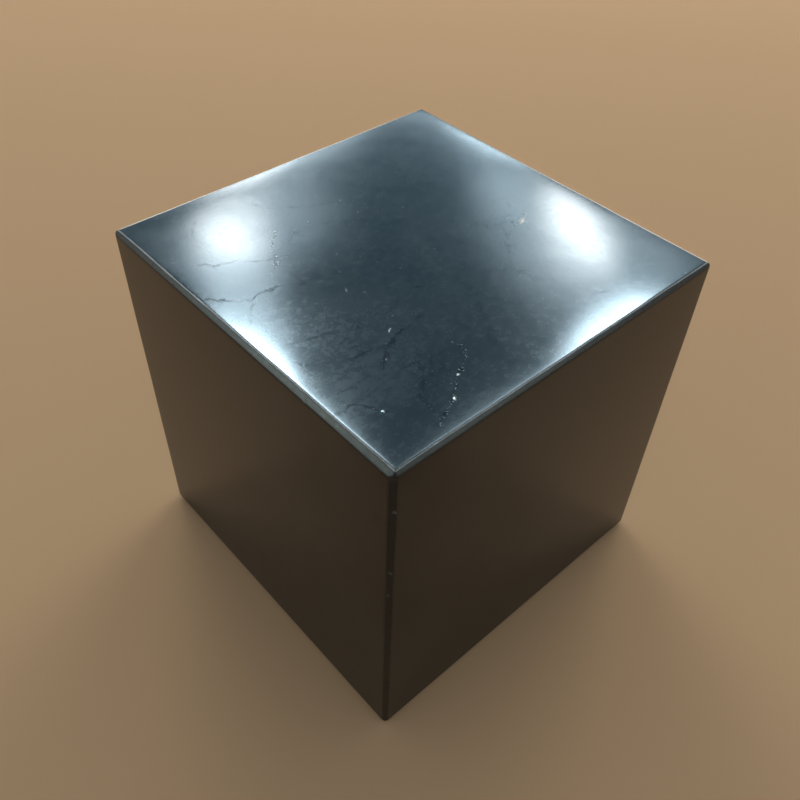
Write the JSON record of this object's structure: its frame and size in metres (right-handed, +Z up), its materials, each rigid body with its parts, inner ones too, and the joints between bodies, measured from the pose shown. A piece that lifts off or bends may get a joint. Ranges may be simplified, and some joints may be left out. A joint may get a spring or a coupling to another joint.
{
  "type": "polished stone cube",
  "caption": "Solid cube of polished black carbon stone with narrow ground bevels on its edges, used as a desk ornament or paperweight.",
  "frame": {"origin": "middle of the bottom face, on the surface that the cube stands on", "axes": "+Z up through the middle of the cube; X and Y square to the side faces"},
  "size_m": [0.08, 0.08, 0.08],
  "materials": {
    "polished_stone": "mirror polish on the faces, satin on the ground bevels"
  },
  "bodies": {
    "root": {"stone_cube": "polished_stone"}
  },
  "joints": []
}
